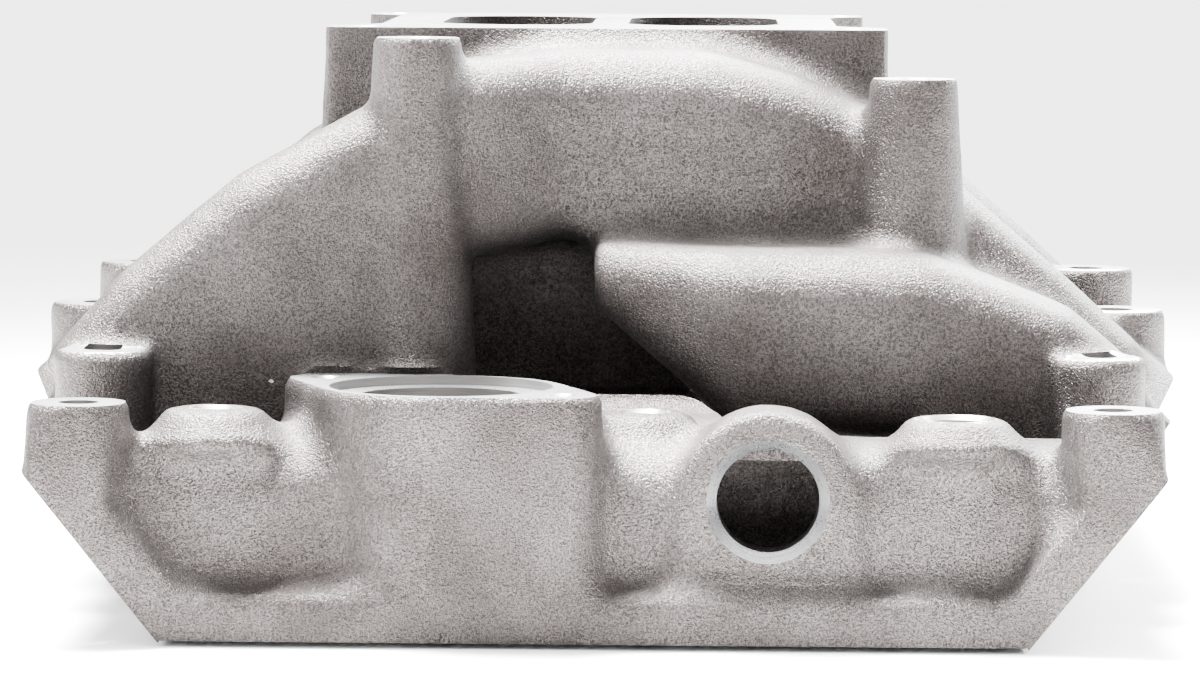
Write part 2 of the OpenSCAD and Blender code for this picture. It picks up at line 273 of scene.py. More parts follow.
def boolean(piece, cutter, operation):
    """Cuts a piece with another mesh, which is used up only by its caller."""
    mod = piece.modifiers.new("cut", "BOOLEAN")
    mod.operation = operation
    mod.solver = "MANIFOLD"
    mod.object = cutter
    apply_modifiers(piece)


def drop(*pieces):
    """Deletes working objects."""
    for piece in pieces:
        mesh = piece.data
        bpy.data.objects.remove(piece)
        bpy.data.meshes.remove(mesh)


def cut(piece, build, operation="DIFFERENCE"):
    """Cuts a piece with the shapes that a function adds to an empty bmesh."""
    bm = bmesh.new()
    build(bm)
    tool = new_piece("tool", mesh_of(bm, "tool"))
    boolean(piece, tool, operation)
    drop(tool)


# ---- the blank: the CAD sections as one pour ----------------------------------------


def raised(bm, node, stock):
    """Adds a CAD section to the blank, with stock on the faces that will be milled."""
    part = bmesh.new()
    part.from_mesh(frame["nodes"][node].data)
    bmesh.ops.remove_doubles(part, verts=part.verts, dist=1e-6)
    for v in part.verts:
        if node == "carb_flange" and abs(v.co.z - PAD_TOP) < CLOSE:
            v.co.z += stock
        elif node == "thermostat_neck" and abs(v.co.z - NECK_TOP) < CLOSE:
            v.co.z += SPARE
        elif node.startswith("end_rail") and abs(v.co.z - RAIL_LOW) < CLOSE:
            v.co.z -= stock
        elif node.startswith("head_flange"):
            side = 1 if v.co.x > 0 else -1
            near = face_frame(side).inverted() @ v.co
            if abs(near.z) < CLOSE:
                v.co += Vector((side * FACE_NORMAL.x, 0, FACE_NORMAL.z)) * stock
    mesh = bpy.data.meshes.new("section")
    part.to_mesh(mesh)
    part.free()
    bm.from_mesh(mesh)
    bpy.data.meshes.remove(mesh)


def slots():
    """Centres of the two throttle slots."""
    for side in ("left", "right"):
        box = next(o for o in frame["record"]["physics"]["openings"]
                   if o["name"] == "throttle_slot_" + side)["box_m"]
        yield (Vector(box[0]) + Vector(box[1])) / 2


SLOT_W = 42 * MM
SLOT_L = 96 * MM
PORT_Y = (-135 * MM, -91 * MM, 91 * MM, 135 * MM)
PORT_S = 41 * MM
PORT_H = 48 * MM
PORT_W = 26 * MM
WATER_Y = -183.5 * MM
WATER_Z = 30 * MM
WATER_R = 10 * MM


def hole_list():
    """The round ports of the water passages: name, place and radius."""
    out = []
    for name in ("sensor_port", "vent_port", "centre_port", "bypass_port"):
        pos, _, dims = mount(name)
        out.append((name, pos, dims["r_mm"] * MM))
    return out


TOWERS = {
    "head_bolts_end": ("end", 12.8 * MM), "head_bolts_second": ("second", 12.5 * MM),
    "head_bolts_inner": ("inner", 14 * MM),
}


def tower_list():
    """Centre, top height and radius of each head bolt tower."""
    tops = {"end": (60, 60), "second": (69, 69), "inner": (74, 77)}
    for name, (kind, r) in TOWERS.items():
        _, _, dims = mount(name)
        for sx in (-1, 1):
            for sy, top in zip((-1, 1), tops[kind]):
                yield (Vector((sx * dims["spacing_x_mm"] / 2 * MM,
                               sy * dims["spacing_y_mm"] / 2 * MM, top * MM)), r)


def is_second(at):
    """True for the towers that stand half inside a runner wall."""
    return abs(abs(at.y) - MOUNTS["head_bolts_second"]["dims"]["spacing_y_mm"] / 2 * MM) < MM


def plug_water(bm):
    """Fills the holes of the water passages, which are drilled afterwards."""
    for name, pos, r in hole_list():
        top = {"sensor_port": "sensor_boss", "vent_port": "vent_boss",
               "centre_port": "centre_boss"}.get(name)
        if top:
            add_rod(bm, (pos.x, pos.y, 26 * MM), (pos.x, pos.y, high(top).z), r + 1 * MM)
        else:
            add_rod(bm, (pos.x, low("bypass_eye").y + 1 * MM, pos.z),
                    (pos.x, WATER_Y + 3 * MM, pos.z), r + 1 * MM)
    pos, _, _ = mount("thermostat_bolts")
    add_rod(bm, (pos.x, pos.y, WATER_Z - 6 * MM), (pos.x, pos.y, NECK_TOP + SPARE), 30 * MM)
    for x, y in neck_holes():
        add_rod(bm, (x, y, NECK_TOP - 20 * MM), (x, y, NECK_TOP + SPARE), 5 * MM)


def plug_ports(bm):
    """Fills the ports and bolt holes of the head flanges."""
    stock = bpy.context.scene.casting_sizes.stock
    for at, _ in tower_list():
        add_rod(bm, (at.x, at.y, 10 * MM), (at.x, at.y, 40 * MM), 6 * MM)
    for side in (-1, 1):
        place = face_frame(side)
        for y in PORT_Y:
            add_box(bm, (PORT_S - PORT_H / 2 - MM, y - PORT_W / 2 - MM, -stock),
                    (PORT_S + PORT_H / 2 + MM, y + PORT_W / 2 + MM, FLANGE_T + 3 * MM), place)
        add_rod(bm, (side * 112 * MM, WATER_Y, WATER_Z), (side * 138 * MM, WATER_Y, WATER_Z),
                WATER_R + MM)


def plug_pad(bm):
    """Fills the throttle slots and the pad's tapped holes."""
    stock = bpy.context.scene.casting_sizes.stock
    for centre in slots():
        add_box(bm, (centre.x - SLOT_W / 2 - MM, centre.y - SLOT_L / 2, PAD_LOW - 3 * MM),
                (centre.x + SLOT_W / 2 + MM, centre.y + SLOT_L / 2, PAD_TOP + stock))
    for x, y in pad_holes():
        add_rod(bm, (x, y, PAD_TOP - 22 * MM), (x, y, PAD_TOP + stock), 5 * MM)


def pad_holes():
    """Centres of the four tapped holes in the pad."""
    pos, _, dims = mount("carb_bolts")
    for sx in (-1, 1):
        for sy in (-1, 1):
            yield (pos.x + sx * dims["spacing_x_mm"] / 2 * MM,
                   pos.y + sy * dims["spacing_y_mm"] / 2 * MM)


def neck_holes():
    """Centres of the two tapped holes in the neck."""
    pos, _, dims = mount("thermostat_bolts")
    turn = math.radians(NECK_TURN)
    for sign in (-1, 1):
        r = sign * dims["pcd_mm"] / 2 * MM
        yield pos.x + r * math.cos(turn), pos.y + r * math.sin(turn)


def add_flares(bm):
    """The spreading feet of the three small bosses."""
    for node, foot, spread in (("sensor_boss", 49, 7), ("vent_boss", 49, 7),
                               ("centre_boss", 49, 3)):
        lo, hi = low(node), high(node)
        r = (hi.x - lo.x) / 2
        centre = (lo + hi) / 2
        add_rod(bm, (centre.x, centre.y, foot * MM), (centre.x, centre.y, hi.z - 3 * MM),
                r + spread * MM, r)


def even_skin(piece, fillet, soften):
    """Covers a piece with one skin, fills its inside corners and rounds its edges."""
    voxel = bpy.context.scene.casting_sizes.voxel
    remesh(piece, voxel)
    swell(piece, fillet)
    remesh(piece, voxel)
    swell(piece, -fillet)
    remesh(piece, voxel)
    smooth(piece, soften)


def blank(nodes, *extras):
    """CAD sections and extra shapes gathered in one mesh, not yet joined."""
    sizes = bpy.context.scene.casting_sizes
    bm = bmesh.new()
    for node in nodes:
        raised(bm, node, sizes.stock)
    for extra in extras:
        extra(bm)
    mesh = bpy.data.meshes.new("casting")
    bm.to_mesh(mesh)
    bm.free()
    return new_piece("casting", mesh)


TOWER_NODES = ("head_bolt_towers_left", "head_bolt_towers_right", "bracket_tower_tall",
               "bracket_tower_short")
WATER_NODES = ("water_crossover_left", "water_crossover_right", "thermostat_neck",
               "bypass_eye", "sensor_boss", "vent_boss", "centre_boss", "end_rail_front")
FLANGE_NODES = ("head_flange_left", "head_flange_right")


def tower_blanks(bm):
    """Plain towers with a little metal above each seat, and their spreading feet."""
    for at, r in tower_list():
        rise = 0.2 * MM if is_second(at) else SPARE
        add_rod(bm, (at.x, at.y, 30 * MM), at + UP * rise, r)
    for at, r in tower_list():
        if abs(at.y) > 0.2:
            add_tower_foot(bm, at, r)
    for node in ("bracket_tower_tall", "bracket_tower_short"):
        lo, hi = low(node), high(node)
        p, _, _ = mount(node.replace("bracket_tower_", "") + "_tower_thread")
        r = (hi.x - lo.x) / 2
        more = SPARE / (hi.z - lo.z) * (r - BRACKET_TOP_R)
        add_rod(bm, (p.x, p.y, lo.z), (p.x, p.y, hi.z + SPARE), r,
                BRACKET_TOP_R - more)


def add_tower_foot(bm, at, r):
    """The tapered metal between an end tower and the flange under it."""
    side = 1 if at.x > 0 else -1
    place = face_frame(side)
    top = bmesh.ops.create_circle(bm, segments=40, radius=r,
                                  matrix=Matrix.Translation(at + UP * SPARE))["verts"]
    y0 = math.copysign(0.22, at.y)
    y1 = at.y - math.copysign(r, at.y)
    foot = [bm.verts.new(place @ Vector((s, y, n)))
            for s in (38 * MM, 55.4 * MM) for n in (0, FLANGE_T) for y in (y0, y1)]
    out = bmesh.ops.convex_hull(bm, input=top + foot)
    inner = [v for v in out["geom_interior"] if isinstance(v, bmesh.types.BMVert)]
    bmesh.ops.delete(bm, geom=inner, context="VERTS")


def rail_ends(bm):
    """Fills the corner between each end rail and the foot of the flange beside it."""
    stock = bpy.context.scene.casting_sizes.stock
    for node in ("end_rail_front", "end_rail_rear"):
        lo, hi = low(node), high(node)
        for side in (-1, 1):
            x0, x1 = sorted((side * 84 * MM, side * 104.5 * MM))
            add_box(bm, (x0, lo.y, RAIL_LOW - stock), (x1, hi.y, 9 * MM))


def pour():
    """The casting as one skin, with wide fillets in it and small ones at the towers."""
    sizes = bpy.context.scene.casting_sizes
    upper = [n for n in frame["nodes"] if n not in TOWER_NODES + WATER_NODES]
    casting = blank(upper, plug_pad, plug_ports, rail_ends)
    even_skin(casting, sizes.fillet, sizes.soften)
    water = blank(WATER_NODES + FLANGE_NODES, plug_water, plug_ports, add_flares,
                  rail_ends)
    even_skin(water, sizes.fillet * WATER_FILLET, sizes.soften - 1)
    towers = blank((), tower_blanks)
    bm = bmesh.new()
    for part in (casting, water, towers):
        bm.from_mesh(part.data)
    drop(casting, water, towers)
    whole = new_piece("casting", mesh_of(bm, "casting"))
    even_skin(whole, sizes.tight, sizes.soften // 2)
    ripple(whole, sizes.ripple)
    return whole


def ripple(piece, height):
    """Slow unevenness of a sand-cast wall."""
    mesh = piece.data
    xyz = points(mesh)
    normal = np.empty(len(mesh.vertices) * 3, dtype=np.float32)
    mesh.vertex_normals.foreach_get("vector", normal)
    wave = np.zeros(len(xyz), dtype=np.float32)
    for pitch, share, turn in ((0.021, 0.5, 0.3), (0.0125, 0.3, 1.1), (0.0068, 0.2, 2.0)):
        k = 2 * math.pi / pitch
        a = np.sin(k * (xyz[:, 0] * math.cos(turn) + xyz[:, 1] * math.sin(turn)) + turn)
        b = np.sin(k * (xyz[:, 1] * math.cos(turn) - xyz[:, 2] * math.sin(turn)) + 2 * turn)
        c = np.sin(k * (xyz[:, 2] * math.cos(turn) + xyz[:, 0] * math.sin(turn)) + 3 * turn)
        wave += share * (a * b + b * c + c * a) / 1.5
    xyz = xyz + normal.reshape(-1, 3) * (wave * height)[:, None]
    inset = 0.02 * MM
    for axis in (0, 1):
        xyz[:, axis] = np.clip(xyz[:, axis], cad_box[0][axis] + inset, cad_box[1][axis] - inset)
    xyz[:, 2] = np.maximum(xyz[:, 2], inset)
    set_points(mesh, xyz)


# ---- milling and drilling ------------------------------------------------------------


def add_neck_prism(bm, grow, z0, z1):
    """The neck's outline as a prism, grown all round."""
    pos = mount("thermostat_bolts")[0]
    part = bmesh.new()
    bmesh.ops.create_circle(part, cap_ends=True, segments=72, radius=NECK_R + grow,
                            matrix=Matrix.Translation((pos.x, pos.y, z0)))
    for x, y in neck_holes():
        bmesh.ops.create_circle(part, cap_ends=True, segments=40, radius=LOBE_R + grow,
                                matrix=Matrix.Translation((x, y, z0)))
    rim = [v.co.copy() for v in part.verts]
    part.free()
    corners = [bm.verts.new(co) for co in rim]
    corners += [bm.verts.new((co.x, co.y, z1)) for co in rim]
    out = bmesh.ops.convex_hull(bm, input=corners)
    spare = [v for v in out["geom_interior"] if isinstance(v, bmesh.types.BMVert)]
    bmesh.ops.delete(bm, geom=spare, context="VERTS")


def add_rounded_block(bm, lo, hi, radius, matrix=Matrix.Identity(4), segments=6):
    """A block whose edges along Z are rounded."""
    verts = add_box(bm, lo, hi)
    edges = {e for v in verts for e in v.link_edges}
    upright = [e for e in edges
               if abs(e.verts[0].co.z - e.verts[1].co.z) > 0.9 * (hi[2] - lo[2])]
    made = bmesh.ops.bevel(bm, geom=upright, offset=radius, offset_type="OFFSET",
                           segments=segments, profile=0.5, affect="EDGES", material=-1)
    around = {v for f in made["faces"] for v in f.verts} | {v for v in verts if v.is_valid}
    bmesh.ops.transform(bm, matrix=matrix, verts=list(around))


def mill(casting):
    """Cuts the flat faces: pad, neck, head faces and end rails."""
    big = 0.26

    def pad_and_rails(bm):
        add_box(bm, (-0.1, -0.12, PAD_TOP), (0.1, 0.1, PAD_TOP + 0.03))
        for node in ("end_rail_front", "end_rail_rear"):
            lo, hi = low(node), high(node)
            add_box(bm, (-0.1085, lo.y - 0.01, -0.03), (0.1085, hi.y + 0.01, RAIL_LOW))

    def right_face(bm):
        add_box(bm, (-0.04, -big, -0.05), (0.14, big, 0.0), face_frame(1))

    def left_face(bm):
        add_box(bm, (-0.04, -big, -0.05), (0.14, big, 0.0), face_frame(-1))

    def neck_face(bm):
        add_neck_prism(bm, 0.8 * MM, NECK_TOP, NECK_TOP + 2 * SPARE)

    def ends(bm):
        for sign in (-1, 1):
            y0, y1 = sorted((sign * -FRONT, sign * (-FRONT + 0.03)))
            add_box(bm, (-0.2, y0, -0.03), (0.2, y1, 0.2))

    for build in (pad_and_rails, right_face, left_face, neck_face, ends):
        cut(casting, build)


def drill(casting):
    """Seats and chamfers, then the hollow behind the bypass, the bores, ports and slots."""
    chamfer = 0.7 * MM
    over = 0.3 * MM
    pos, _, _ = mount("thermostat_bolts")

    def seats(bm):
        for at, r in tower_list():
            if not is_second(at):
                add_rod(bm, at, at + UP * 2 * SPARE, r + 0.7 * MM)
        for node in ("bracket_tower_tall", "bracket_tower_short"):
            place = mount(node.replace("bracket_tower_", "") + "_tower_thread")[0]
            top = high(node).z
            add_rod(bm, (place.x, place.y, top), (place.x, place.y, top + 2 * SPARE),
                    BRACKET_SEAT_R)

    def mouths(bm):
        for x, y in pad_holes():
            add_rod(bm, (x, y, PAD_TOP - chamfer), (x, y, PAD_TOP + over),
                    PAD_BOLT_R, PAD_BOLT_R + chamfer + over)
        for x, y in neck_holes():
            add_rod(bm, (x, y, NECK_TOP - chamfer), (x, y, NECK_TOP + over),
                    NECK_BOLT_R, NECK_BOLT_R + chamfer + over)
        _, _, dims = mount("thermostat_recess")
        add_rod(bm, (pos.x, pos.y, NECK_TOP - dims["length_mm"] * MM),
                (pos.x, pos.y, NECK_TOP + 5 * MM), dims["r_mm"] * MM, sides=128)
        for name, node, wide in (("sensor_port", "sensor_boss", 1.5 * MM),
                                 ("vent_port", "vent_boss", 1.2 * MM),
                                 ("centre_port", "centre_boss", 1.2 * MM),
                                 ("tall_tower_thread", "bracket_tower_tall", 0.9 * MM),
                                 ("short_tower_thread", "bracket_tower_short", 0.9 * MM)):
            p, _, dims = mount(name)
            r = dims["r_mm"] * MM
            top = high(node).z
            add_rod(bm, (p.x, p.y, top - wide), (p.x, p.y, top + 2 * over),
                    r, r + wide + 2 * over, sides=80)
        p, _, dims = mount("bypass_port")
        front = low("bypass_eye").y + 1 * MM
        r = dims["r_mm"] * MM
        add_rod(bm, (p.x, front + 2.2 * MM, p.z), (p.x, front - 2.2 * MM, p.z),
                r, r + 4.2 * MM, sides=96)

    def chamber(bm):
        lo, hi = low("water_crossover_right"), high("water_crossover_right")
        verts = add_box(bm, (4 * MM, lo.y + 9 * MM, 18 * MM), (0.104, hi.y - 6 * MM, 46 * MM))
        edges = list({e for v in verts for e in v.link_edges})
        bmesh.ops.bevel(bm, geom=edges, offset=4 * MM, offset_type="OFFSET", segments=3,
                        profile=0.5, affect="EDGES", material=-1)

    def bores(bm):
        for at, _ in tower_list():
            add_rod(bm, (at.x, at.y, -10 * MM), at + UP * 1.2 * MM, HEAD_BOLT_R, sides=48)
        for x, y in pad_holes():
            add_rod(bm, (x, y, PAD_TOP - PAD_HOLE_DEEP), (x, y, PAD_TOP + MM), PAD_BOLT_R,
                    sides=40)
        for x, y in neck_holes():
            add_rod(bm, (x, y, NECK_TOP - NECK_HOLE_DEEP), (x, y, NECK_TOP + MM),
                    NECK_BOLT_R, sides=40)
        _, _, dims = mount("thermostat_outlet")
        add_rod(bm, (pos.x, pos.y, WATER_Z), (pos.x, pos.y, NECK_TOP + MM),
                dims["r_mm"] * MM, sides=128)
        for name, node in (("sensor_port", "sensor_boss"), ("vent_port", "vent_boss"),
                           ("centre_port", "centre_boss"),
                           ("tall_tower_thread", "bracket_tower_tall"),
                           ("short_tower_thread", "bracket_tower_short")):
            p, _, dims = mount(name)
            top = high(node).z
            deep = dims["length_mm"] * MM if "tower" in name else top - WATER_Z
            add_rod(bm, (p.x, p.y, top - deep), (p.x, p.y, top + MM), dims["r_mm"] * MM,
                    sides=64)
        p, _, dims = mount("bypass_port")
        add_rod(bm, (p.x, low("water_crossover_right").y + 12 * MM, p.z),
                (p.x, FRONT - 5 * MM, p.z), dims["r_mm"] * MM, sides=96)
        for side in (-1, 1):
            add_rod(bm, (side * 108 * MM, WATER_Y, WATER_Z), (side * 0.15, WATER_Y, WATER_Z),
                    WATER_R)

    def ports(bm):
        for side in (-1, 1):
            for y in PORT_Y:
                add_rounded_block(
                    bm, (PORT_S - PORT_H / 2, y - PORT_W / 2, -5 * MM),
                    (PORT_S + PORT_H / 2, y + PORT_W / 2, FLANGE_T + 9 * MM), 7 * MM,
                    face_frame(side))
        for centre in slots():
            add_rounded_block(
                bm, (centre.x - SLOT_W / 2, centre.y - SLOT_L / 2, PAD_LOW - 12 * MM),
                (centre.x + SLOT_W / 2, centre.y + SLOT_L / 2, PAD_TOP + 5 * MM),
                SLOT_W / 2 - 0.1 * MM, segments=20)

    for build in (seats, mouths, chamber, bores, ports):
        cut(casting, build)


# ---- finishes --------------------------------------------------------------------------


def group(name, inputs, outputs):
    """An empty shader node group with named sockets."""
    tree = bpy.data.node_groups.new(name, "ShaderNodeTree")
    for label, kind, value in inputs:
        socket = tree.interface.new_socket(label, in_out="INPUT", socket_type=kind)
        socket.default_value = value
    for label, kind in outputs:
        tree.interface.new_socket(label, in_out="OUTPUT", socket_type=kind)
    return tree, tree.nodes.new("NodeGroupInput"), tree.nodes.new("NodeGroupOutput")


def noise_node(tree, vector, scale, detail=2.0, rough=0.5, stretch=None):
    """A noise texture on object coordinates."""
    if stretch:
        turned = tree.nodes.new("ShaderNodeMapping")
        turned.inputs["Scale"].default_value = stretch
        tree.links.new(vector, turned.inputs["Vector"])
        vector = turned.outputs["Vector"]
    node = tree.nodes.new("ShaderNodeTexNoise")
    node.inputs["Scale"].default_value = scale
    node.inputs["Detail"].default_value = detail
    node.inputs["Roughness"].default_value = rough
    tree.links.new(vector, node.inputs["Vector"])
    return node.outputs["Fac"]


def remap(tree, value, lo, hi, to_lo, to_hi):
    """Stretches a value from one range to another."""
    node = tree.nodes.new("ShaderNodeMapRange")
    for label, number in zip(("From Min", "From Max", "To Min", "To Max"),
                             (lo, hi, to_lo, to_hi)):
        node.inputs[label].default_value = number
    tree.links.new(value, node.inputs["Value"])
    return node.outputs["Result"]


def mix_colour(tree, factor, a, b, blend="MIX"):
    """Mixes two colours, given as values or sockets."""
    node = tree.nodes.new("ShaderNodeMix")
    node.data_type = "RGBA"
    node.blend_type = blend
    node.clamp_factor = True
    for socket, value in ((node.inputs[0], factor), (node.inputs[6], a), (node.inputs[7], b)):
        if isinstance(value, bpy.types.NodeSocket):
            tree.links.new(value, socket)
        else:
            socket.default_value = value
    return node.outputs[2]


def maths(tree, operation, a, b):
    """A sum of two values, given as numbers or sockets."""
    node = tree.nodes.new("ShaderNodeMath")
    node.operation = operation
    for socket, value in zip(node.inputs, (a, b)):
        if isinstance(value, bpy.types.NodeSocket):
            tree.links.new(value, socket)
        else:
            socket.default_value = value
    return node.outputs[0]


def sand_skin_group():
    """Grain, pits and patches that the mould leaves on a cast wall."""
    tree, given, out = group(
        "SandSkin",
        [("Vector", "NodeSocketVector", (0, 0, 0)),
         ("Light", "NodeSocketColor", (0.5, 0.5, 0.5, 1)),
         ("Dark", "NodeSocketColor", (0.3, 0.3, 0.3, 1)),
         ("Relief", "NodeSocketFloat", 1.0)],
        [("Colour", "NodeSocketColor"), ("Rough", "NodeSocketFloat"),
         ("Height", "NodeSocketFloat")])
    vector = given.outputs["Vector"]
    fine = noise_node(tree, vector, 3200.0, 1.0, 0.5)
    grain = noise_node(tree, vector, 1500.0, 2.0, 0.6)
    patch = noise_node(tree, vector, 46.0, 3.0, 0.55)
    cloud = noise_node(tree, vector, 12.0, 2.0, 0.5)
    cells = tree.nodes.new("ShaderNodeTexVoronoi")
    cells.inputs["Scale"].default_value = 1500.0
    tree.links.new(vector, cells.inputs["Vector"])
    pit = remap(tree, cells.outputs["Distance"], 0.05, 0.42, 0.0, 1.0)
    blotch = remap(tree, maths(tree, "ADD", patch, cloud), 0.78, 1.22, 0.0, 1.0)
    base = mix_colour(tree, blotch, given.outputs["Dark"], given.outputs["Light"])
    speck = remap(tree, maths(tree, "ADD", grain, fine), 0.84, 1.16, 0.2, 1.8)
    both = tree.nodes.new("ShaderNodeCombineColor")
    for label in ("Red", "Green", "Blue"):
        tree.links.new(speck, both.inputs[label])
    speckled = mix_colour(tree, 0.72, base, both.outputs["Color"], "MULTIPLY")
    tree.links.new(speckled, out.inputs["Colour"])
    rough = remap(tree, grain, 0.3, 0.7, 0.5, 0.36)
    tree.links.new(rough, out.inputs["Rough"])
    height = maths(tree, "ADD", maths(tree, "MULTIPLY", grain, 1.0),
                   maths(tree, "MULTIPLY", pit, 0.5))
    height = maths(tree, "ADD", height, maths(tree, "MULTIPLY", fine, 0.45))
    height = maths(tree, "MULTIPLY", height, given.outputs["Relief"])
    tree.links.new(height, out.inputs["Height"])
    return tree


def material(name):
    """A node material with only its Principled shader and output."""
    mat = bpy.data.materials.new(name)
    mat.use_nodes = True
    tree = mat.node_tree
    shader = tree.nodes["Principled BSDF"]
    coords = tree.nodes.new("ShaderNodeTexCoord").outputs["Object"]
    return mat, tree, shader, coords


def bump(tree, shader, height, distance, strength=1.0):
    """Feeds a height to a shader's normal."""
    node = tree.nodes.new("ShaderNodeBump")
    node.inputs["Distance"].default_value = distance
    node.inputs["Strength"].default_value = strength
    tree.links.new(height, node.inputs["Height"])
    tree.links.new(node.outputs["Normal"], shader.inputs["Normal"])


def sand_cast_material():
    """Bare sand-cast aluminium, as it comes from shot blasting."""
    finish = bpy.context.scene.finish_colours
    mat, tree, shader, coords = material("sand_cast_aluminium")
    skin = tree.nodes.new("ShaderNodeGroup")
    skin.node_tree = bpy.data.node_groups["SandSkin"]
    skin.inputs["Light"].default_value = finish.cast
    skin.inputs["Dark"].default_value = finish.cast_dark
    tree.links.new(coords, skin.inputs["Vector"])
    tree.links.new(skin.outputs["Colour"], shader.inputs["Base Color"])
    tree.links.new(skin.outputs["Rough"], shader.inputs["Roughness"])
    shader.inputs["Metallic"].default_value = 0.85
    bump(tree, shader, skin.outputs["Height"], 0.0004, 1.0)
    return mat


def milled_material():
    """A face left bright by a fly cutter, with its arcs and fine lines."""
    finish = bpy.context.scene.finish_colours
    mat, tree, shader, coords = material("milled_aluminium")
    lines = noise_node(tree, coords, 420.0, 2.0, 0.5, stretch=(0.12, 6.0, 1.0))
    soft = noise_node(tree, coords, 38.0, 3.0, 0.55)
    fine = noise_node(tree, coords, 1600.0, 2.0, 0.6)
    tone = remap(tree, maths(tree, "ADD", lines, soft), 0.7, 1.3, 0.0, 1.0)
    dull = tuple(c * 0.72 for c in finish.milled[:3]) + (1.0,)
    tree.links.new(mix_colour(tree, tone, dull, tuple(finish.milled)),
                   shader.inputs["Base Color"])
    tree.links.new(remap(tree, maths(tree, "ADD", soft, fine), 0.7, 1.3, 0.36, 0.24),
                   shader.inputs["Roughness"])
    shader.inputs["Metallic"].default_value = 0.95
    bump(tree, shader, maths(tree, "ADD", lines, maths(tree, "MULTIPLY", fine, 0.3)),
         0.00006, 0.8)
    return mat


def bored_material():
    """The wall of a drilled or bored hole."""
    mat, tree, shader, coords = material("bored_aluminium")
    rings = noise_node(tree, coords, 900.0, 1.0, 0.5, stretch=(0.1, 0.1, 2.0))
    soft = noise_node(tree, coords, 60.0, 2.0, 0.5)
    tree.links.new(mix_colour(tree, maths(tree, "MULTIPLY", rings, soft),
                              (0.2, 0.19, 0.185, 1), (0.42, 0.41, 0.4, 1)),
                   shader.inputs["Base Color"])
    tree.links.new(remap(tree, rings, 0.3, 0.7, 0.42, 0.3), shader.inputs["Roughness"])
    shader.inputs["Metallic"].default_value = 0.9
    bump(tree, shader, rings, 0.00012, 0.6)
    return mat


FINISHES = {}


def finishes():
    """The materials of the casting, made once: cast wall, milled face, bored wall."""
    if not FINISHES:
        sand_skin_group()
        FINISHES["cast"] = sand_cast_material()
        FINISHES["milled"] = milled_material()
        FINISHES["bored"] = bored_material()
    return [FINISHES["cast"], FINISHES["milled"], FINISHES["bored"]]


def face_kinds(mesh):
    """0 for cast, 1 for milled and 2 for bored faces, told by where they lie."""
    count = len(mesh.polygons)
    centre = np.empty(count * 3, dtype=np.float32)
    normal = np.empty(count * 3, dtype=np.float32)
    mesh.polygons.foreach_get("center", centre)
    mesh.polygons.foreach_get("normal", normal)
    centre, normal = centre.reshape(-1, 3), normal.reshape(-1, 3)
    kind = np.zeros(count, dtype=np.int32)
    flat = 0.03 * MM
    up = normal[:, 2] > 0.999
    kind[up & (abs(centre[:, 2] - PAD_TOP) < flat)] = 1
    pos, _, dims = mount("thermostat_recess")
    from_neck = np.hypot(centre[:, 0] - pos.x, centre[:, 1] - pos.y)
    near_neck = from_neck < 60 * MM
    kind[up & near_neck & (abs(centre[:, 2] - NECK_TOP) < flat)] = 1
    seat = NECK_TOP - dims["length_mm"] * MM
    kind[near_neck & (abs(centre[:, 2] - seat) < flat)] = 1
    kind[(from_neck < dims["r_mm"] * MM + flat) & (centre[:, 2] > WATER_Z) & (kind == 0)] = 2
    kind[(normal[:, 2] < -0.999) & (abs(centre[:, 2] - RAIL_LOW) < flat)] = 1
    for side in (-1, 1):
        out = np.array((side * FACE_NORMAL.x, 0.0, FACE_NORMAL.z))
        foot = face_frame(side) @ Vector((0, 0, 0))
        away = (centre - np.array(foot)) @ out
        kind[(normal @ out > 0.999) & (abs(away) < flat)] = 1
    holes = [(at.x, at.y, HEAD_BOLT_R, at.z) for at, _ in tower_list()]
    for name, node in (("sensor_port", "sensor_boss"), ("vent_port", "vent_boss"),
                       ("centre_port", "centre_boss"),
                       ("tall_tower_thread", "bracket_tower_tall"),
                       ("short_tower_thread", "bracket_tower_short")):
        p, _, dims = mount(name)
        holes.append((p.x, p.y, dims["r_mm"] * MM + 1.6 * MM, high(node).z))
    for x, y in pad_holes():
        holes.append((x, y, 4.4 * MM, PAD_TOP))
    for x, y in neck_holes():
        holes.append((x, y, 4.2 * MM, NECK_TOP))
    for x, y, r, top in holes:
        away = np.hypot(centre[:, 0] - x, centre[:, 1] - y)
        kind[(away < r + flat) & (centre[:, 2] < top + flat) & (kind == 0)] = 2
    for at, r in tower_list():
        away = np.hypot(centre[:, 0] - at.x, centre[:, 1] - at.y)
        kind[(away < r + MM) & up & (abs(centre[:, 2] - at.z) < flat)] = 1
        if is_second(at):
            kind[(away < r - MM) & (normal[:, 2] > 0.9) & (abs(centre[:, 2] - at.z) < MM)] = 1
    for node in ("bracket_tower_tall", "bracket_tower_short"):
        kind[up & (abs(centre[:, 2] - high(node).z) < flat)] = 1
    p, _, dims = mount("bypass_port")
    away = np.hypot(centre[:, 0] - p.x, centre[:, 2] - p.z)
    front = low("bypass_eye").y + 8 * MM
    bore = dims["r_mm"] * MM
    kind[(away < bore + flat) & (centre[:, 1] < front)] = 2
    kind[(away >= bore + flat) & (away < bore + 3.3 * MM) & (centre[:, 1] < front)
         & (abs(normal[:, 1]) > 0.3) & (abs(normal[:, 1]) < 0.95)] = 1
    return kind


def finish_piece(piece, *nodes):
    """Shades a section, gives it its finishes and puts it in place of its CAD node."""
    mesh = piece.data
    mesh.materials.clear()
    for mat in finishes():
        mesh.materials.append(mat)
    mesh.polygons.foreach_set("material_index", face_kinds(mesh))
    mesh.polygons.foreach_set("use_smooth", np.ones(len(mesh.polygons), dtype=bool))
    mesh.set_sharp_from_angle(angle=math.radians(35))
    mesh.update()
    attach(piece, "root")
    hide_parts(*nodes)


# ---- sections: the casting cut where its CAD sections meet ---------------------------------

WORK = {}


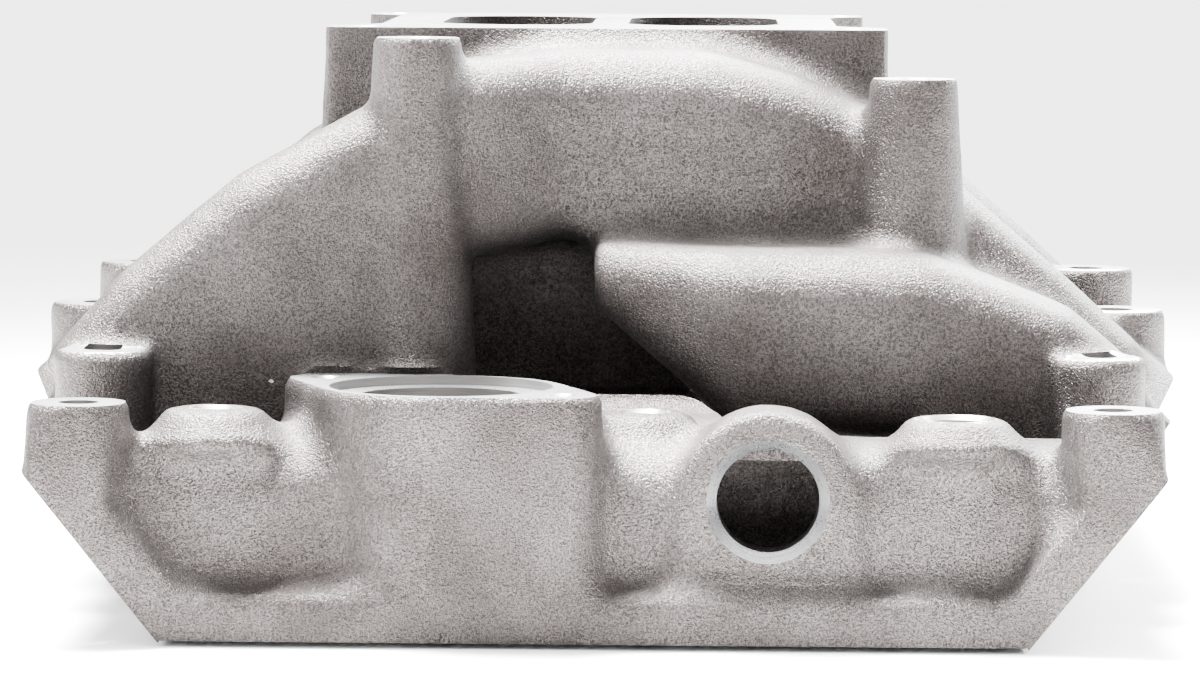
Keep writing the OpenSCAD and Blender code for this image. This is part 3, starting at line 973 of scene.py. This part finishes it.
def section(node, build):
    """Takes the part of the casting inside some shapes as the piece for one CAD node."""
    casting = WORK["casting"]
    bm = bmesh.new()
    build(bm)
    tool = new_piece("tool", mesh_of(bm, "tool"))
    piece = new_piece("cast_" + node, casting.data.copy())
    boolean(piece, tool, "INTERSECT")
    boolean(casting, tool, "DIFFERENCE")
    drop(tool)
    if not piece.data.polygons:
        raise RuntimeError("no metal left for " + node)
    finish_piece(piece, node)


def tower_section(bm, side):
    """The shapes that part one bank's towers from the rest."""
    for at, r in tower_list():
        if at.x * side < 0:
            continue
        if abs(at.y) > 0.2:
            x0, x1 = sorted((side * (abs(at.x) - r - MM), side * 0.17))
            y0, y1 = sorted((at.y - math.copysign(r + MM, at.y), math.copysign(0.23, at.y)))
            add_box(bm, (x0, y0, 18 * MM), (x1, y1, at.z + 4 * MM))
        else:
            add_rod(bm, (at.x, at.y, 0), at + UP * 5 * MM, r + 1.2 * MM)


def box_of(node, grow=2 * MM, lo=(None,) * 3, hi=(None,) * 3):
    """A builder of a block round a CAD node, with some of its sides given."""
    a, b = low(node) - Vector((grow,) * 3), high(node) + Vector((grow,) * 3)
    a = Vector(x if y is None else y for x, y in zip(a, lo))
    b = Vector(x if y is None else y for x, y in zip(b, hi))
    return lambda bm: add_box(bm, a, b)


class MANIFOLD_OT_pour(bpy.types.Operator):
    """Pour the casting, then mill its faces and drill its holes"""
    bl_idname = "manifold.pour"
    bl_label = "Pour and machine the casting"

    def execute(self, context):
        casting = pour()
        mill(casting)
        drill(casting)
        WORK["casting"] = casting
        return {"FINISHED"}


class MANIFOLD_OT_flanges(bpy.types.Operator):
    """Make the two head flanges and their bolt towers"""
    bl_idname = "manifold.flanges"
    bl_label = "Head flanges and bolt towers"

    def execute(self, context):
        for side, word in ((-1, "left"), (1, "right")):
            plate = face_frame(side)
            section("head_flange_" + word, lambda bm, p=plate: add_box(
                bm, (-0.02, -0.24, -0.02), (0.1, 0.24, FLANGE_T), p))
        for side, word in ((-1, "left"), (1, "right")):
            section("head_bolt_towers_" + word,
                    lambda bm, s=side: tower_section(bm, s))
        return {"FINISHED"}


class MANIFOLD_OT_rails(bpy.types.Operator):
    """Make the end rails and the valley floor"""
    bl_idname = "manifold.rails"
    bl_label = "End rails and floor"

    def execute(self, context):
        section("end_rail_front", box_of("end_rail_front", hi=(None, None, RAIL_TOP)))
        section("end_rail_rear", box_of("end_rail_rear", 3 * MM, lo=(None, None, -0.01)))
        section("valley_floor", box_of(
            "valley_floor", lo=(None, None, -0.01), hi=(None, 0.21, FLOOR_TOP + 2 * MM)))
        return {"FINISHED"}


class MANIFOLD_OT_water(bpy.types.Operator):
    """Make the crossover, the thermostat neck, the bypass eye and the small bosses"""
    bl_idname = "manifold.water"
    bl_label = "Water passages"

    def execute(self, context):
        section("thermostat_neck", lambda bm: add_neck_prism(
            bm, 0.6 * MM, RAIL_TOP - MM, NECK_TOP + MM))
        section("bypass_eye", box_of("bypass_eye", 0.8 * MM, hi=(None, -192 * MM, None)))
        for node in ("sensor_boss", "vent_boss", "centre_boss"):
            lo, hi = low(node), high(node)
            centre = (lo + hi) / 2
            section(node, lambda bm, c=centre, t=hi.z: add_rod(
                bm, (c.x, c.y, 49.6 * MM), (c.x, c.y, t + 2 * MM), 19 * MM))
        middle = mount("thermostat_bolts")[0].x
        back = high("water_crossover_left").y + 6 * MM
        for node, x0, x1 in (("water_crossover_left", -0.13, middle),
                             ("water_crossover_right", middle, 0.13)):
            section(node, lambda bm, a=x0, b=x1: add_box(
                bm, (a, FRONT - MM, RAIL_TOP - 2 * MM), (b, back, 66 * MM)))
        return {"FINISHED"}


class MANIFOLD_OT_brackets(bpy.types.Operator):
    """Make the two bracket towers"""
    bl_idname = "manifold.brackets"
    bl_label = "Bracket towers"

    def execute(self, context):
        for node, foot in (("bracket_tower_tall", 10 * MM), ("bracket_tower_short", 96 * MM)):
            lo, hi = low(node), high(node)
            centre = (lo + hi) / 2
            r = (hi.x - lo.x) / 2
            section(node, lambda bm, c=centre, f=foot, t=hi.z, w=r: add_rod(
                bm, (c.x, c.y, f), (c.x, c.y, t + 2 * MM), w + 1.5 * MM, w * 0.8 + MM))
        return {"FINISHED"}


class MANIFOLD_OT_pad(bpy.types.Operator):
    """Make the carburettor pad, its ears and the plenums"""
    bl_idname = "manifold.pad"
    bl_label = "Pad and plenums"

    def execute(self, context):
        section("carb_flange", box_of("carb_flange", 3 * MM, lo=(None, None, PAD_LOW)))
        for node in ("ear_pillars_front", "ear_pillars_rear"):
            lo, hi = low(node), high(node)
            inner = high("plenum_upper").x
            section(node, lambda bm, a=lo, b=hi, i=inner: [
                add_box(bm, (s0, a.y - 3 * MM, a.z), (s1, b.y + 3 * MM, b.z))
                for s0, s1 in ((-0.085, -i), (i, 0.085))])
        section("plenum_divider", box_of("plenum_divider", 0.0))
        section("plenum_upper", box_of("plenum_upper", 0.0))
        section("plenum_lower", box_of("plenum_lower", 0.0))
        return {"FINISHED"}


class MANIFOLD_OT_runners(bpy.types.Operator):
    """Make the eight runners and the two hoods where the upper plane crosses"""
    bl_idname = "manifold.runners"
    bl_label = "Runners and hoods"

    def execute(self, context):
        lo, hi = low("hood_front"), high("hood_front")
        shelf = high("plenum_lower").z
        between = -113.2 * MM
        for sign, names in ((1, ("runner_4", "runner_1", "hood_front", "runner_3", "runner_2")),
                            (-1, ("runner_6", "runner_7", "hood_rear", "runner_5", "runner_8"))):
            def block(bm, x0, x1, y0, y1, z0, z1, s=sign):
                a, b = sorted((s * y0, s * y1))
                add_box(bm, (x0, a, z0), (x1, b, z1))
            top = 0.16
            inner, outer, far = 0.0, -0.2, 0.16
            section(names[0], lambda bm: block(bm, -far, lo.x, between, inner, 0, 92 * MM))
            section(names[1], lambda bm: (
                block(bm, lo.x, hi.x, outer, inner, 0, shelf + 0.6 * MM),
                block(bm, hi.x, far, outer, between, 0, top)))
            section(names[2], lambda bm: block(bm, lo.x, hi.x, outer, inner, shelf, top))
            section(names[3], lambda bm: block(bm, hi.x, far, outer, inner, 0, top))
            section(names[4], lambda bm: block(bm, -far, lo.x, outer, inner, 0, top))
        drop(WORK.pop("casting"))
        return {"FINISHED"}


# ---- stage ------------------------------------------------------------------------------------


def floor_material():
    """A pale, matt studio floor."""
    mat, tree, shader, coords = material("studio_floor")
    soft = noise_node(tree, coords, 3.0, 2.0, 0.5)
    tree.links.new(mix_colour(tree, soft, (0.93, 0.93, 0.93, 1), (0.96, 0.96, 0.96, 1)),
                   shader.inputs["Base Color"])
    shader.inputs["Roughness"].default_value = 0.9
    return mat


def area_light(name, place, aim, size, power, spread=180):
    """A soft light that looks at a point, with its spread in degrees."""
    lamp = bpy.data.lights.new(name, "AREA")
    lamp.shape = "RECTANGLE"
    lamp.size, lamp.size_y = size
    lamp.energy = power
    lamp.spread = math.radians(spread)
    obj = bpy.data.objects.new(name, lamp)
    bpy.context.scene.collection.objects.link(obj)
    obj.location = place
    obj.rotation_euler = (Vector(aim) - Vector(place)).to_track_quat("-Z", "Y").to_euler()
    return obj


def studio_world():
    """A tent of soft light, bright overhead and dim near the floor."""
    world = bpy.data.worlds.new("studio")
    world.use_nodes = True
    tree = world.node_tree
    coords = tree.nodes.new("ShaderNodeTexCoord")
    split = tree.nodes.new("ShaderNodeSeparateXYZ")
    tree.links.new(coords.outputs["Generated"], split.inputs["Vector"])
    strength = remap(tree, split.outputs["Z"], 0.1, 0.85, 0.06, 6.5)
    back = tree.nodes["Background"]
    back.inputs["Color"].default_value = (1, 1, 1, 1)
    tree.links.new(strength, back.inputs["Strength"])
    return world


class MANIFOLD_OT_stage(bpy.types.Operator):
    """Lay the pale floor, hang the soft lights and set up the camera"""
    bl_idname = "manifold.stage"
    bl_label = "Floor, lights and camera"

    def execute(self, context):
        scene = context.scene
        view = scene.stage_sizes
        bm = bmesh.new()
        bmesh.ops.create_grid(bm, x_segments=2, y_segments=2, size=14.0)
        floor = new_piece("studio_floor", mesh_of(bm, "studio_floor"))
        floor.data.materials.append(floor_material())
        scene.world = studio_world()
        aim = (0.0, FRONT + 0.12, 0.06)
        area_light("key_above", (-0.2, 0.22, 1.3), aim, (0.9, 0.4), 205, 75)
        area_light("key_behind", (0.6, 1.1, 0.9), aim, (1.2, 0.7), 50, 80)
        area_light("fill_front", (0.9, -2.0, 0.8), aim, (1.0, 0.8), 2)
        area_light("edge_left", (-1.4, -0.3, 0.45), aim, (0.5, 1.0), 9)
        lens = bpy.data.cameras.new("camera")
        lens.lens = view.lens
        lens.sensor_width = 36.0
        lens.clip_end = 50.0
        camera = bpy.data.objects.new("camera", lens)
        scene.collection.objects.link(camera)
        camera.location = (view.aside, FRONT - view.distance, view.height)
        look = Matrix.Rotation(view.yaw, 3, "Z") @ Matrix.Rotation(
            math.pi / 2 - view.dip, 3, "X") @ Matrix.Rotation(view.roll, 3, "Z")
        camera.rotation_euler = look.to_euler()
        scene.camera = camera
        return {"FINISHED"}


class MANIFOLD_PT_panel(bpy.types.Panel):
    """Lists the steps that make the manifold"""
    bl_label = "Intake manifold"
    bl_idname = "MANIFOLD_PT_panel"
    bl_space_type = "VIEW_3D"
    bl_region_type = "UI"
    bl_category = "Manifold"

    def draw(self, context):
        scene = context.scene
        for sizes in (scene.casting_sizes, scene.stage_sizes, scene.finish_colours):
            for prop in sizes.bl_rna.properties:
                if not prop.is_readonly and prop.identifier != "name":
                    self.layout.prop(sizes, prop.identifier)
        for step in STEPS:
            self.layout.operator(step.bl_idname)


STEPS = (MANIFOLD_OT_pour, MANIFOLD_OT_flanges, MANIFOLD_OT_rails, MANIFOLD_OT_water,
         MANIFOLD_OT_brackets, MANIFOLD_OT_pad, MANIFOLD_OT_runners, MANIFOLD_OT_stage)
GROUPS = (("casting_sizes", CastingSizes), ("stage_sizes", StageSizes),
          ("finish_colours", FinishColours))


def register():
    """Adds the properties, the operators and the panel."""
    for label, kind in GROUPS:
        bpy.utils.register_class(kind)
        setattr(bpy.types.Scene, label, bpy.props.PointerProperty(type=kind))
    for kind in (*STEPS, MANIFOLD_PT_panel):
        bpy.utils.register_class(kind)


def unregister():
    """Takes them away again."""
    for kind in (MANIFOLD_PT_panel, *reversed(STEPS)):
        bpy.utils.unregister_class(kind)
    for label, kind in reversed(GROUPS):
        delattr(bpy.types.Scene, label)
        bpy.utils.unregister_class(kind)


def main():
    """Makes everything in order."""
    register()
    bpy.ops.manifold.pour()
    bpy.ops.manifold.flanges()
    bpy.ops.manifold.rails()
    bpy.ops.manifold.water()
    bpy.ops.manifold.brackets()
    bpy.ops.manifold.pad()
    bpy.ops.manifold.runners()
    bpy.ops.manifold.stage()


if __name__ == "__main__":
    main()
